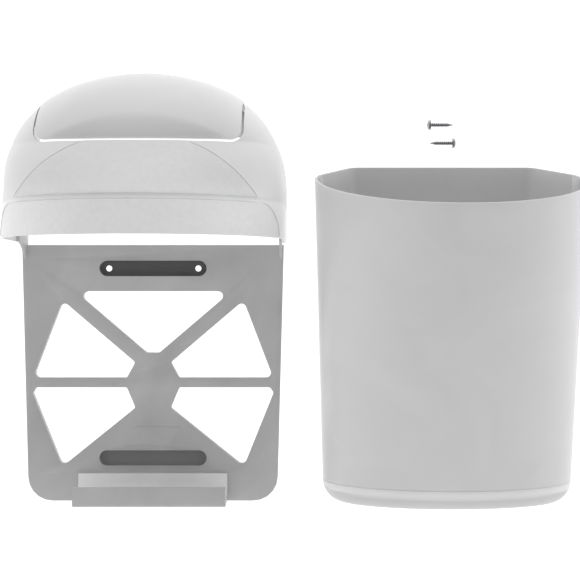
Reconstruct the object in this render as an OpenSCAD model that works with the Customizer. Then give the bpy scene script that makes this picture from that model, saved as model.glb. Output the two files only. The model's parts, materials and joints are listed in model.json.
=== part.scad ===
// Wall-mounted waste bin with a domed hood, a lift-up flap and a lift-off bin.
// Millimetres. X runs to the right, Z up, and the wall is the plane Y = 0 with the front towards -Y.
// The origin is on the wall, midway between the two wall screw holes.
// Heights below are measured from the plate's bottom edge, and depths from the wall towards the front.

/* [Plate] */
// Width of the plate along its top edge
plate_top_w = 215; // [180:1:260]
// Width of the plate level with the top of its bottom corners
plate_bottom_w = 204; // [170:1:250]
// Height of the plate
plate_h = 210; // [172:1:256]
// Depth of the plate, from the wall to its face
plate_t = 7; // [6:0.1:9]
// Wall thickness of the plate, which is hollow behind
plate_wall = 2.2; // [1.6:0.1:2.6]
// Radius of the two bottom corners
plate_corner_r = 20; // [5:1:28]
// Radius of each window's corners
window_corner_r = 4; // [1:0.5:6]
// Width left between a window and the plate's side edge
side_border = 6; // [4:0.5:12]
// Height of the middle of the level bar between the upper and the lower windows
bar_z = 97; // [85:1:110]
// Height of that bar
bar_h = 8; // [5:0.5:14]
// Width of the diagonal struts beside the top window
strut_w = 12.2; // [8:0.1:16]
// Height of the lower windows' bottom corner
window_bottom_z = 28; // [24:1:40]
// Height of plate above the top window
window_top_margin = 38; // [34:1:50]
// Half the width of the solid middle, level with the bar
hub_half_w = 21.5; // [16:0.5:30]

/* [Wall screw slots] */
// Length of each slot-shaped pocket
pocket_l = 88; // [80:1:110]
// Height of each pocket
pocket_h = 12.8; // [10:0.1:16]
// Thickness of plate left at the bottom of a pocket
pocket_floor = 1.6; // [1.2:0.1:3]
// Distance from the plate's top edge to the upper pocket's middle
pocket_drop = 19.2; // [14:0.1:24]
// Height of the lower pocket's middle
lower_pocket_z = 35; // [33:0.5:40]
// Distance between the two wall screw holes
screw_spacing = 73.6; // [50:0.1:74]
// Diameter of a wall screw hole
screw_hole_d = 5; // [4.4:0.1:6]
// Width of the raised rim round a pocket
pocket_rim_w = 1; // [0.6:0.1:2]
// Height of that rim and of the blank badge above the plate's face
rim_proud = 0.6; // [0.3:0.1:1.2]

/* [Ledge] */
// Width of the ledge that carries the bin
ledge_w = 122; // [90:1:140]
// Depth from the wall to the front of the ledge's lip
ledge_d = 40; // [30:1:50]
// Height of the ledge's floor
ledge_floor_z = 6.5; // [4:0.5:10]
// Height of the top of the lip
lip_z = 16; // [12:0.5:20]
// Height of the top of the band behind the ledge
ledge_band_z = 23; // [18:0.5:28]
// Wall thickness of the ledge
ledge_t = 2.4; // [1.8:0.1:4]

/* [Hood] */
// Depth of the hood at its rim
hood_d = 172; // [150:1:200]
// Height of the hood above its rim
hood_h = 129; // [115:1:155]
// Wall thickness of the hood and the flap
hood_t = 2.4; // [1.8:0.1:3.5]
// Gap in height between the plate's top edge and the hood's rim
hood_gap = 2; // [1:0.5:6]
// Amount that the hood's side stands out past the plate's top corner
hood_side_out = 1; // [0.5:0.5:4]
// Height of the hood's rounded shoulders, down from its top
shoulder_h = 91; // [80:1:110]
// Squareness of the shoulders, where 2 is an ellipse
shoulder_power = 2.3; // [2:0.05:3]
// Depth of the straight part of the hood's side at the rim
side_run = 70; // [50:1:90]
// Height of the upright skirt above the rim
skirt_h = 29; // [20:1:36]
// Amount that the skirt leans back between its rim and its top
skirt_lean = 6; // [2:0.5:12]
// Height of the flap's lower edge above the rim
flap_edge_h = 71; // [62:1:80]
// Depth of the flap's lower edge
flap_edge_d = 128; // [110:1:140]
// Depth of the front end of the hood's level top
crest_d = 64; // [50:1:80]
// Depth of the wider band next to the wall
rear_band_d = 12; // [8:1:20]
// Amount that this band stands out sideways
rear_band_out = 1.5; // [0.5:0.1:3]
// Height of the wall that closes the back of the hood, down from its top
rear_wall_h = 42; // [30:1:60]

/* [Flap] */
// Width of the flap
flap_w = 154; // [130:1:160]
// Gap between the flap and the hood at the sides and below
flap_gap = 1.2; // [0.6:0.1:2.5]
// Radius of the flap's lower corners
flap_corner_r = 9; // [4:0.5:14]
// Depth of the flap's hinge axis
hinge_d = 20; // [20:0.5:24]
// Distance from the hood's top down to the hinge axis
hinge_drop = 15; // [14:0.5:17]
// Distance that the flap reaches back behind the hinge axis
flap_tail = 5; // [2:0.5:5]
// Depth of the hood's strip behind the flap
rear_strip_d = 9; // [5:0.5:9]
// Diameter of the flap's two hinge pins
pin_d = 4; // [3:0.1:5]
// Radial clearance between a pin and its hole
pin_clearance = 0.08; // [0.02:0.01:0.1]
// Distance between the middles of the two hinge lugs
lug_spacing = 76; // [60:1:80]
// Thickness of a lug and of an ear
lug_t = 4; // [3:0.5:5]
// Wall left round a lug's hole
lug_wall = 2.4; // [1.8:0.1:3]

/* [Bin] */
// Wall thickness of the bin
bin_t = 2; // [1.5:0.1:3]
// Gap between the hood's inside and the bin's rim, once the bin is in place
bin_gap = 2.1; // [1.7:0.1:4]
// Gap between the plate's face and the bin's back
bin_back_gap = 1; // [0.5:0.1:4]
// Height by which the bin's front rim reaches into the hood
bin_overlap = 22; // [12:1:28]
// Angle at which the rim falls towards the front
rim_slope = 14.4; // [14:0.1:17]
// Width of the bin at its seam, just above the base
bin_seam_w = 196; // [170:1:204]
// Depth of the bin at its seam, from its back
bin_seam_d = 95; // [80:1:120]
// Gap between the front of the bin's rim and the hood's inside
bin_front_gap = 1.6; // [1.2:0.1:12]
// Part of the bin's depth at which its straight sides turn into its round front
front_turn = 0.32; // [0.32:0.01:0.34]
// Height of the seam above the bin's underside
seam_h = 16; // [12:0.5:22]
// Width of the flat back wall as a part of the whole width
back_flat = 0.71; // [0.5:0.01:0.85]
// Depth of the slanted back corners as a part of the whole depth
corner_run = 0.25; // [0.15:0.01:0.25]
// Clearance round the ledge's lip in the groove under the base
groove_clearance = 1.2; // [0.6:0.1:2]
// Distance that the bin stands to the right of its place on the ledge
bin_set_aside = 236.5; // [222:0.5:300]

/* [Wall screws] */
// Length of a screw under its head
screw_l = 19; // [12:1:32]
// Diameter of a screw's shank
screw_d = 4; // [3:0.1:4.2]
// Diameter of a screw's pan head
head_d = 8.2; // [6:0.1:9.6]
// Height of a screw's head
head_h = 2.9; // [2:0.1:4]
// Height of the lower screw's axis above the back of the bin's rim
screws_clear = 20.6; // [12:0.2:60]
// Distance in height between the two loose screws
screws_pitch = 15; // [10:0.5:24]

/* [Hidden] */
$fn = 64;
sliver = 0.01;

// Plate
pocket_z = plate_h - pocket_drop;
window_top_z = plate_h - window_top_margin;
ledge_half = ledge_w / 2;
cheek_d = 35;
cheek_drop = 33;
cheek_t = 2.4;
cheek_top_drop = 9;
window_corner_in = 31;

// Hood
rim_z = plate_h + hood_gap;
crest_z = rim_z + hood_h;
hood_half = plate_top_w / 2 + hood_side_out;
shoulder_z = crest_z - shoulder_h;
skirt_z = rim_z + skirt_h;
flap_edge_z = rim_z + flap_edge_h;
skirt_d = hood_d - skirt_lean;
hinge_z = crest_z - hinge_drop;

// Height that the shoulders' curve would still rise above the crest, and the squareness of the dome's front
crown = 0.5;
dome_power = 1.6;

// Number of steps in the hood's surface: each side of the front, up the panel and up the dome
front_steps = 16;
panel_steps = 4;
dome_steps = 9;

// Bin
bin_base_z = ledge_floor_z;
bin_back_d = plate_t + ledge_t + bin_back_gap;
bin_rim_half = hood_half - hood_t - bin_gap;
front_rim_z = rim_z + bin_overlap;
bin_rim_d = hood_depth_at(front_rim_z) - hood_t - bin_front_gap - bin_back_d;
seam_z = bin_base_z + seam_h;
rim_fall = tan(rim_slope);
rear_rim_z = front_rim_z + bin_rim_d * rim_fall;
screws_z = rear_rim_z + screws_clear;
bin_front_steps = 14;
base_steps = 5;

// A point given by its distance to the right, its depth and its height
function at(x, d, z) = [x, -d, z - pocket_z];
// A number part way from a to b
function mix(a, b, t) = a + (b - a) * t;
// A smooth step from 0 to 1
function ease(t) = t * t * (3 - 2 * t);
// A list with each entry's own entries joined end to end
function flat(lists) = [for (l = lists) for (v = l) v];

// A vector of length 1 along v
function unit(v) = v / norm(v);

// The corners of a polygon, each replaced by an arc of the radius given
function corner_arc(before, corner, after, r, steps = 5) =
    let (a = unit(before - corner))
    let (b = unit(after - corner))
    let (half = acos(a * b) / 2)
    let (centre = corner + unit(a + b) * r / sin(half))
    let (first = corner + a * r / tan(half) - centre)
    let (last = corner + b * r / tan(half) - centre)
    let (start = atan2(first.y, first.x))
    let (raw = atan2(last.y, last.x) - start)
    let (turn = raw > 180 ? raw - 360 : raw < -180 ? raw + 360 : raw)
    [for (i = [0:steps]) centre + r * [cos(start + turn * i / steps), sin(start + turn * i / steps)]];
function rounded(points, radii) =
    let (n = len(points))
    flat([for (i = [0:n - 1]) radii[i] == 0
        ? [points[i]]
        : corner_arc(points[(i + n - 1) % n], points[i], points[(i + 1) % n], radii[i])]);

// Turns a flat shape drawn as [x, z] into a slab between two depths
module slab(front, back) {
    translate([0, -back, -pocket_z])
        rotate([90, 0, 0])
            linear_extrude(height = front - back)
                children();
}

// Turns a flat shape drawn as [depth, z] into a bar between two places along X
module bar(x0, x1) {
    translate([x0, 0, -pocket_z])
        rotate([90, 0, -90])
            mirror([0, 0, 1])
                linear_extrude(height = x1 - x0)
                    children();
}

// Plate ---------------------------------------------------------------------------------------

// Half the plate's width at height z
function plate_half(z) = mix(plate_bottom_w, plate_top_w, z / plate_h) / 2;

// Edges of the diagonal struts: each starts at the middle and runs outwards and up
hub_rise = 24.6;
hub_top_z = bar_z + hub_rise;
hub_tip = 5.2;
strut_top_x = plate_top_w / 2 - window_corner_in - strut_w;
strut_dir = unit([strut_top_x - hub_tip, window_top_z - hub_top_z]);
strut_side = [strut_dir.y, -strut_dir.x] * strut_w;
hub_corner_r = 2;

// How far the upper windows' two corners beside a strut lie along it
upper_outer_shift = 2.8;
upper_inner_shift = 2;

// The lower windows' short sides: one beside the hub and one beside the plate's edge
hub_side_in = 7;
hub_side_h = 16.6;
edge_side_in = 2.4;
edge_side_out = 0.6;
edge_side_h = 4.4;
lower_corner_out = 3.6;

module top_window() {
    corners = [
        [-strut_top_x, window_top_z],
        [-hub_tip, hub_top_z],
        [hub_tip, hub_top_z],
        [strut_top_x, window_top_z],
    ];
    polygon(rounded(corners, [window_corner_r, hub_corner_r, hub_corner_r, window_corner_r]));
}

// One of the two windows on the right, drawn above the bar
module upper_window() {
    z = bar_z + bar_h / 2;
    inner = [hub_tip, hub_top_z] + strut_side;
    corners = [
        [hub_half_w, z],
        [plate_half(z) - side_border, z],
        [strut_top_x, window_top_z] + strut_side + strut_dir * upper_outer_shift,
        inner + strut_dir * upper_inner_shift,
    ];
    polygon(rounded(corners, [hub_corner_r, window_corner_r, window_corner_r, hub_corner_r]));
}

module lower_window() {
    z = bar_z - bar_h / 2;
    corners = [
        [hub_half_w, z],
        [hub_half_w - hub_side_in, z - hub_side_h],
        [plate_bottom_w / 2 - window_corner_in + lower_corner_out, window_bottom_z],
        [plate_half(z) - side_border + edge_side_out, z - edge_side_h],
        [plate_half(z) - side_border - edge_side_in, z],
    ];
    polygon(rounded(corners, [hub_corner_r, hub_corner_r, window_corner_r, hub_corner_r, hub_corner_r]));
}

module stadium(length, height) {
    union() {
        square([length - height, height], center = true);
        for (side = [-1, 1])
            translate([side * (length - height) / 2, 0])
                circle(d = height);
    }
}

module pocket_rim(z) {
    slab(plate_t + rim_proud, plate_t - sliver)
        translate([0, z])
            stadium(pocket_l + 2 * pocket_rim_w, pocket_h + 2 * pocket_rim_w);
}

module pocket(z) {
    slab(plate_t + 2, pocket_floor)
        translate([0, z])
            stadium(pocket_l, pocket_h);
}

// A blank raised badge
module badge() {
    slant = 8;
    half = 19;
    low = 45.6;
    high = 60.5;
    corners = [
        [-half - slant / 2, low],
        [half - slant / 2, low],
        [half + slant / 2, high],
        [-half + slant / 2, high],
    ];
    slab(plate_t + rim_proud, plate_t - sliver)
        polygon(rounded(corners, [1, 1, 1, 1]));
}

// The plate's two side flanges: a hollow curve up to the rim, then a straight tab inside the hood
module cheek(side) {
    low = rim_z - cheek_drop;
    high = shoulder_z - cheek_top_drop;
    cut = 8;
    steps = 8;
    curve = [for (i = [0:steps]) let (a = 90 * i / steps)
        [cheek_d * (1 - cos(a)), low + cheek_drop * sin(a)]];
    outer = side * (hood_half - hood_t);
    inner = outer - side * cheek_t;
    bar(min(outer, inner), max(outer, inner))
        polygon(concat(
            [[0, low]],
            curve,
            [[cheek_d, high - cut], [cheek_d - cut, high], [0, high]]));
}

// The ledge: a band on the plate, a hollow turn into a floor, and an upright lip
module ledge() {
    band_d = plate_t + ledge_t;
    turn_r = 9;
    steps = 6;
    hollow = [for (i = [0:steps]) let (a = 90 * i / steps)
        [band_d + turn_r * (1 - cos(a)), ledge_floor_z + turn_r * (1 - sin(a))]];
    edge = 0.8;
    foot = 1.5;
    bar(-ledge_half, ledge_half)
        polygon(concat(
            [[0, 0], [0, ledge_band_z], [band_d - edge, ledge_band_z], [band_d, ledge_band_z - edge]],
            hollow,
            [[ledge_d - ledge_t, ledge_floor_z], [ledge_d - ledge_t, lip_z], [ledge_d, lip_z]],
            [[ledge_d, foot], [ledge_d - foot, 0]]));
}

module plate_outline() {
    low = plate_bottom_w / 2;
    high = plate_top_w / 2;
    corners = [[-low, 0], [low, 0], [high, plate_h], [-high, plate_h]];
    polygon(rounded(corners, [plate_corner_r, plate_corner_r, 0, 0]));
}

module windows() {
    top_window();
    for (side = [0, 1])
        mirror([side, 0, 0]) {
            upper_window();
            lower_window();
        }
}

// The plate is a shallow pan: this hollow behind its face leaves a wall round its edge, windows and pockets
module hollow_back() {
    slab(plate_t - plate_wall, -1)
        difference() {
            offset(delta = -plate_wall)
                plate_outline();
            offset(delta = plate_wall)
                windows();
            for (z = [pocket_z, lower_pocket_z])
                translate([0, z])
                    square([pocket_l + 2 * plate_wall, pocket_h + 2 * plate_wall], center = true);
        }
}

module back_plate() {
    color([0.78, 0.78, 0.79])
        difference() {
            union() {
                difference() {
                    slab(plate_t, 0)
                        plate_outline();
                    hollow_back();
                }
                pocket_rim(pocket_z);
                pocket_rim(lower_pocket_z);
                badge();
                ledge();
                cheek(-1);
                cheek(1);
            }
            pocket(pocket_z);
            pocket(lower_pocket_z);
            slab(plate_t + 2, -1)
                windows();
            for (side = [-1, 1])
                translate(at(side * screw_spacing / 2, -1, pocket_z))
                    rotate([90, 0, 0])
                        cylinder(d = screw_hole_d, h = plate_t + 4);
        }
}

// Hood ----------------------------------------------------------------------------------------

// Depth of the hood's front at height z, up to the flap's lower edge: a leaning skirt, then a sloping panel
function hood_depth_at(z) =
    z < skirt_z
        ? mix(hood_d, skirt_d, (z - rim_z) / skirt_h)
        : mix(skirt_d, flap_edge_d, (z - skirt_z) / (flap_edge_z - skirt_z));

// A superellipse: how far out it still is, from 1 to 0, at the part t of its height
function bulge(t, power) = pow(1 - pow(t, power), 1 / power);

// Half the hood's width at height z: upright sides, then a superellipse over each shoulder,
// which stops just short of closing so that the top keeps a narrow level strip
function hood_half_at(z) = hood_half * bulge(max(0, z - shoulder_z) / (shoulder_h + crown), shoulder_power);

// Height of the hood's top at the distance x from its middle
function hood_top_at(x) = shoulder_z + shoulder_h * bulge(x / hood_half, shoulder_power);

// Squareness of the hood's front in plan: an ellipse at the skirt, a little squarer from the flap's edge up
function squareness(z) = mix(2, 2.65, ease(min(1, max(0, (z - skirt_z) / (flap_edge_z - skirt_z)))));

// The hood's middle line as [depth, height], from the rim to the front of the level top
hood_line = concat(
    [[hood_d, rim_z]],
    [for (i = [0:panel_steps]) let (t = i / panel_steps)
        [mix(skirt_d, flap_edge_d, t), mix(skirt_z, flap_edge_z, t)]],
    [for (i = [1:dome_steps]) let (rise = sin(90 * i / dome_steps))
        [mix(crest_d, flap_edge_d, bulge(rise, dome_power)), mix(flap_edge_z, crest_z, rise)]]);

// One level path round the hood, from the wall on the left, round the front, to the wall on the right.
// inset is the distance inside the outer surface.
function hood_ring(level, inset) =
    let (d = level[0] - inset)
    let (rise = (level[1] - rim_z) / hood_h)
    let (z = level[1] - inset * ease(rise))
    let (half = hood_half_at(level[1]) - inset)
    let (run = side_run * level[0] / hood_d)
    let (power = 2 / squareness(level[1]))
    let (band = inset > 0 ? 0 : rear_band_out)
    let (left = concat(
        [[-half - band, 0], [-half - band, rear_band_d], [-half, rear_band_d + 1.5]],
        [for (i = [0:front_steps]) let (a = 90 * i / front_steps)
            [-half * pow(cos(a), power), run + (d - run) * pow(sin(a), power)]]))
    let (last = len(left) - 1)
    concat(
        [for (p = left) at(p.x, p.y, z)],
        [for (i = [1:last]) at(-left[last - i].x, left[last - i].y, z)]);

// A closed shell between an outer and an inner stack of rings, open at the wall and below
module hood_shell(thick) {
    outer = [for (level = hood_line) hood_ring(level, 0)];
    inner = [for (level = hood_line) hood_ring(level, thick)];
    n = len(outer[0]);
    m = len(outer);
    mid = (n - 1) / 2;
    skip = n * m;
    skin = [for (j = [0:m - 2]) for (i = [0:n - 2]) let (k = j * n + i)
        each [[k, k + n, k + n + 1], [k, k + n + 1, k + 1]]];
    lining = [for (f = skin) [f[0] + skip, f[2] + skip, f[1] + skip]];
    rim = [for (i = [0:n - 2]) each [[i, i + 1, i + 1 + skip], [i, i + 1 + skip, i + skip]]];
    left = [for (j = [0:m - 2]) let (k = j * n)
        each [[k, k + skip, k + n + skip], [k, k + n + skip, k + n]]];
    right = [for (f = left) [f[0] + n - 1, f[2] + n - 1, f[1] + n - 1]];
    top = (m - 1) * n;
    cap = [for (i = [0:mid - 1]) each [
        [top + i, top + n - 1 - i, top + i + 1],
        if (i < mid - 1) [top + i + 1, top + n - 1 - i, top + n - 2 - i]]];
    roof = [for (f = cap) [f[0] + skip, f[2] + skip, f[1] + skip]];
    back = [[top, top + skip, top + n - 1 + skip], [top, top + n - 1 + skip, top + n - 1]];
    faces = concat(skin, lining, rim, left, right, cap, roof, back);
    polyhedron(points = concat(flat(outer), flat(inner)), faces = faces);
}

// The flap's outline from the front, grown by a gap, standing out from a depth to past the hood's front
module flap_prism(gap, back) {
    half = flap_w / 2 + gap;
    low = flap_edge_z - gap;
    high = crest_z + 20;
    r = flap_corner_r + gap;
    slab(hood_d + 20, back)
        polygon(rounded([[-half, low], [half, low], [half, high], [-half, high]], [r, r, 0, 0]));
}

// The wall that closes the back of the hood, down from its top, inside its outline
module rear_wall() {
    low = crest_z - rear_wall_h;
    steps = 10;
    inside = hood_t / 2;
    top = crest_z - inside;
    edge = [for (i = [0:steps]) let (z = mix(low, top, sin(90 * i / steps))) [hood_half_at(z) - inside, z]];
    left = [for (i = [0:steps]) [-edge[steps - i].x, edge[steps - i].y]];
    slab(hood_t, 0)
        polygon(concat(edge, left));
}

// A hinge lug: an arm from the rear wall that comes up to the pin from below
module lug(x) {
    r = pin_d / 2 + pin_clearance + lug_wall;
    bar(x - lug_t / 2, x + lug_t / 2)
        union() {
            polygon([
                [hood_t / 2, hinge_z - 26],
                [hinge_d + r, hinge_z - 16],
                [hinge_d + r, hinge_z],
                [hinge_d - r, hinge_z],
                [hinge_d - r, hinge_z - 12],
                [hood_t / 2, hinge_z - 16]]);
            translate([hinge_d, hinge_z])
                circle(r = r);
        }
}

module hinge_rod(x0, x1, r) {
    translate(at(x0, hinge_d, hinge_z))
        rotate([0, 90, 0])
            cylinder(r = r, h = x1 - x0);
}

module hood() {
    color([0.93, 0.93, 0.93])
        union() {
            difference() {
                hood_shell(hood_t);
                flap_prism(flap_gap, rear_strip_d);
            }
            rear_wall();
            difference() {
                union() {
                    lug(-lug_spacing / 2);
                    lug(lug_spacing / 2);
                }
                hinge_rod(-lug_spacing, lug_spacing, pin_d / 2 + pin_clearance);
            }
        }
}

// Flap ----------------------------------------------------------------------------------------

// An ear under the flap, outside a lug, with the hinge pin that points inwards through the lug
module ear(side) {
    inner = lug_spacing / 2 + lug_t / 2 + 0.5;
    outer = inner + lug_t;
    skin_z = hood_top_at(outer);
    pin_end = inner - lug_t - 1.5;
    mirror([side < 0 ? 1 : 0, 0, 0]) {
        bar(inner, outer)
            union() {
                translate([hinge_d, hinge_z])
                    circle(d = pin_d + 2);
                translate([hinge_d - pin_d / 2 - 1, hinge_z])
                    square([pin_d + 2, skin_z - hood_t / 2 - hinge_z]);
            }
        hinge_rod(pin_end, inner + sliver, pin_d / 2);
    }
}

module flap() {
    color([0.95, 0.95, 0.95])
        union() {
            intersection() {
                hood_shell(hood_t);
                flap_prism(0, hinge_d - flap_tail);
            }
            ear(-1);
            ear(1);
        }
}

// Bin -----------------------------------------------------------------------------------------

// The bin's plan as [part of the half width, part of the depth], from the back's left end, round the front
function bin_plan() =
    let (bend = 0.14)
    let (left = concat(
        corner_arc([0, 0], [-back_flat, 0], [-1, corner_run], bend, 3),
        corner_arc([-back_flat, 0], [-1, corner_run], [-1, 1], bend, 3),
        [for (i = [0:bin_front_steps]) let (a = 90 * i / bin_front_steps)
            [-cos(a), front_turn + (1 - front_turn) * sin(a)]]))
    let (last = len(left) - 1)
    concat(left, [for (i = [1:last]) [-left[last - i].x, left[last - i].y]]);

function bin_half_at(z) = mix(bin_seam_w / 2, bin_rim_half, (z - seam_z) / (front_rim_z - seam_z));
function bin_depth_at(z) = mix(bin_seam_d, bin_rim_d, (z - seam_z) / (front_rim_z - seam_z));

// A point on the bin at plan place p and height z, inside the outer surface by inset and pulled in by round
function bin_point(p, z, inset, round) =
    let (d = bin_back_d + inset + round + p.y * (bin_depth_at(z) - 2 * inset - 2 * round))
    at(p.x * (bin_half_at(z) - inset - round), d, z);

// Height of the sloping rim above plan place p: where the wall meets the rim's plane
function bin_rim_z(p) =
    let (lean = (bin_rim_d - bin_seam_d) / (front_rim_z - seam_z))
    let (level_d = p.y * (bin_seam_d - lean * seam_z))
    (rear_rim_z - rim_fall * level_d) / (1 + rim_fall * p.y * lean);

// One stack of rings from the flat base up to the rim
function bin_rings(inset) =
    let (plan = bin_plan())
    let (r = seam_h - inset)
    concat(
        [for (i = [0:base_steps]) let (a = 90 * i / base_steps)
            [for (p = plan) bin_point(p, bin_base_z + inset + r * (1 - cos(a)), inset, r * (1 - sin(a)))]],
        [[for (p = plan) bin_point(p, bin_rim_z(p), inset, 0)]]);

module bin_shell() {
    outer = bin_rings(0);
    inner = bin_rings(bin_t);
    n = len(outer[0]);
    m = len(outer);
    skip = n * m;
    skin = [for (j = [0:m - 2]) for (i = [0:n - 1]) let (k = j * n + i) let (next = j * n + (i + 1) % n)
        each [[k, k + n, next + n], [k, next + n, next]]];
    lining = [for (f = skin) [f[0] + skip, f[2] + skip, f[1] + skip]];
    top = (m - 1) * n;
    rim = [for (i = [0:n - 1]) let (next = (i + 1) % n)
        each [[top + i, top + i + skip, top + next + skip], [top + i, top + next + skip, top + next]]];
    under = [for (i = [1:n - 2]) [0, i, i + 1]];
    floor_faces = [for (f = under) [f[0] + skip, f[2] + skip, f[1] + skip]];
    faces = concat(skin, lining, rim, under, floor_faces);
    polyhedron(points = concat(flat(outer), flat(inner)), faces = faces);
}

// The groove under the base that drops over the ledge's lip, and the ridge over it inside the bin
groove_h = lip_z - ledge_floor_z + groove_clearance;
groove_back = ledge_d - ledge_t - groove_clearance;
groove_front = ledge_d + groove_clearance;

module groove_bar(grow) {
    bar(-ledge_half - groove_clearance - grow, ledge_half + groove_clearance + grow)
        translate([groove_back - grow, bin_base_z - (grow > 0 ? 0 : 1)])
            square([groove_front - groove_back + 2 * grow, groove_h + grow + (grow > 0 ? 0 : 1)]);
}

// Two upright ribs with a slot between them, inside each back corner of the rim
module bag_ribs() {
    rib_h = 20;
    rib_t = 1.6;
    rib_out = 5;
    for (side = [-1, 1])
        for (d = [40, 46]) {
            z = rear_rim_z - rim_fall * d - 1;
            x = bin_half_at(z - rib_h) - bin_t / 2 - rib_out;
            mirror([side < 0 ? 1 : 0, 0, 0])
                bar(x, x + rib_out)
                    translate([bin_back_d + d, z - rib_h])
                        square([rib_t, rib_h]);
        }
}

module bin() {
    color([0.9, 0.9, 0.9])
        translate([bin_set_aside, 0, 0])
            difference() {
                union() {
                    bin_shell();
                    groove_bar(bin_t);
                    bag_ribs();
                }
                groove_bar(0);
            }
}

// Wall screws ---------------------------------------------------------------------------------

// A pan-head screw along X, with the underside of its head at the origin and its point towards +X
module screw() {
    tip_l = 5;
    rotate([0, 90, 0])
        difference() {
            union() {
                translate([0, 0, -head_h])
                    cylinder(d1 = head_d - 2, d2 = head_d, h = head_h * 0.45);
                translate([0, 0, -head_h * 0.55])
                    cylinder(d = head_d, h = head_h * 0.55);
                cylinder(d = screw_d, h = screw_l - tip_l);
                translate([0, 0, screw_l - tip_l])
                    cylinder(d1 = screw_d, d2 = 0.4, h = tip_l);
            }
            for (turn = [0, 90])
                rotate([0, 0, turn])
                    translate([0, 0, -head_h])
                        cube([4.6, 1, 3], center = true);
        }
}

module wall_screws() {
    color([0.75, 0.76, 0.78]) {
        translate(at(bin_set_aside - screw_l / 2 + head_h / 2, head_d / 2, screws_z + screws_pitch))
            screw();
        translate(at(bin_set_aside + screw_l / 2, head_d / 2, screws_z))
            rotate([0, 180, 0])
                screw();
    }
}

back_plate();
hood();
flap();
bin();
wall_screws();
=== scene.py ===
"""Studio scene of a hooded wall bin: its bracket, lift-up flap, tapered bin and two loose screws.

Every piece is worked out in metres in the part's own frame: X to the right, Y into the wall, Z up.
The hood and the flap share one surface, the bin is a stack of rings, and the screws are helical surfaces.
"""

import json
import logging
import math
from collections.abc import Callable
from dataclasses import dataclass, field
from enum import Enum

import bmesh
import bpy
import numpy as np
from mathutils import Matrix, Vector


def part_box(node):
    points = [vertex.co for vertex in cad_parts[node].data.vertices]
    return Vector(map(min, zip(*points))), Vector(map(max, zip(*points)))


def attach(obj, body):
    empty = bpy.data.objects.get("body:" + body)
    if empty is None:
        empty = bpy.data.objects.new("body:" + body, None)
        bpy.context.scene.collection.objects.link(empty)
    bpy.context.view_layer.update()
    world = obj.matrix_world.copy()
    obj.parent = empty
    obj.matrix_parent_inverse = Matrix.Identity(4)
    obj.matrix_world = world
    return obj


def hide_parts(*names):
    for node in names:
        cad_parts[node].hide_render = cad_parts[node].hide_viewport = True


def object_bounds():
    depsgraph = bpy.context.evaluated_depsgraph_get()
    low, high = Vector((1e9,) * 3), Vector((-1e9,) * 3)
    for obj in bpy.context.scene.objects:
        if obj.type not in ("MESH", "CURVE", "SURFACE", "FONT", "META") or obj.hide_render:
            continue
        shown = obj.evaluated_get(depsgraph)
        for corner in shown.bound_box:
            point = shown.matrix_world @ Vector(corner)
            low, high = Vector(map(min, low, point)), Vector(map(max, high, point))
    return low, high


logging.basicConfig(level=logging.INFO, format="%(message)s")
log = logging.getLogger("wall_bin")

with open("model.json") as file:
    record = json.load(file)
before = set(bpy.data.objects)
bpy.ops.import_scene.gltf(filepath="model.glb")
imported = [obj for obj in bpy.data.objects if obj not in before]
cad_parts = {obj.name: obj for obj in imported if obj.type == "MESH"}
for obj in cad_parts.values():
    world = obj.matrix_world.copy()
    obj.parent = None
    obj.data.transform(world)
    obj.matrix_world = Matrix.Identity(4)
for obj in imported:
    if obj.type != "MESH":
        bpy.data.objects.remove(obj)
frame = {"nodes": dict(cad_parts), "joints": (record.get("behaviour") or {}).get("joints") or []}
cad_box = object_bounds()

MM = 0.001
TAPER_RUN = 0.04
TAPER_END = 0.2
FINE_ROUND = 0.25 * MM
SMALL_ROUND = 0.3 * MM

Place = tuple[float, float, float]


class Side(Enum):
    """Which side of the middle a mirrored piece stands on."""

    LEFT = -1
    RIGHT = 1


# Meshes ---------------------------------------------------------------------------------------


def new_object(
        name: str, verts: np.ndarray, faces: list | np.ndarray, smooth: bool = True) -> bpy.types.Object:
    """Makes a mesh object at the origin from points in metres.

    Args:
        name: The piece's name.
        verts: Points, one row each.
        faces: Rows of point numbers, all of one length, or a list of rows.
        smooth: Whether the faces are shaded smooth.

    Returns:
        The new object, linked to the scene.
    """
    mesh = bpy.data.meshes.new(name)
    mesh.from_pydata(np.asarray(verts, dtype=float).tolist(), [], [list(map(int, f)) for f in faces])
    mesh.validate()
    mesh.polygons.foreach_set("use_smooth", np.full(len(mesh.polygons), smooth))
    mesh.update()
    piece = bpy.data.objects.new(name, mesh)
    bpy.context.scene.collection.objects.link(piece)
    return piece


def grid_faces(rows: int, columns: int, closed: bool = False, start: int = 0) -> np.ndarray:
    """Quads of a grid of points, numbered row by row.

    Args:
        rows: Number of rows of points.
        columns: Number of points in a row.
        closed: Whether each row's end joins its start.
        start: Number of the grid's first point.

    Returns:
        One row of four point numbers for each quad.
    """
    across = columns if closed else columns - 1
    j, i = np.meshgrid(np.arange(rows - 1), np.arange(across), indexing="ij")
    here = j * columns + i
    beside = j * columns + (i + 1) % columns
    return np.stack([here, beside, beside + columns, here + columns], axis=-1).reshape(-1, 4) + start


def ring_stack(name: str, rings: np.ndarray, smooth: bool = True) -> bpy.types.Object:
    """A closed solid through a stack of rings, flat at both ends.

    Args:
        name: The piece's name.
        rings: Points of shape (rings, points in a ring, 3).
        smooth: Whether the faces are shaded smooth.

    Returns:
        The solid, whose faces point outwards.
    """
    rows, columns = rings.shape[:2]
    last = (rows - 1) * columns
    ends = [list(range(columns))[::-1], list(range(last, last + columns))]
    faces = [*grid_faces(rows, columns, closed=True).tolist(), *ends]
    piece = new_object(name, rings.reshape(-1, 3), faces, smooth)
    outward(piece)
    return piece


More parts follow.
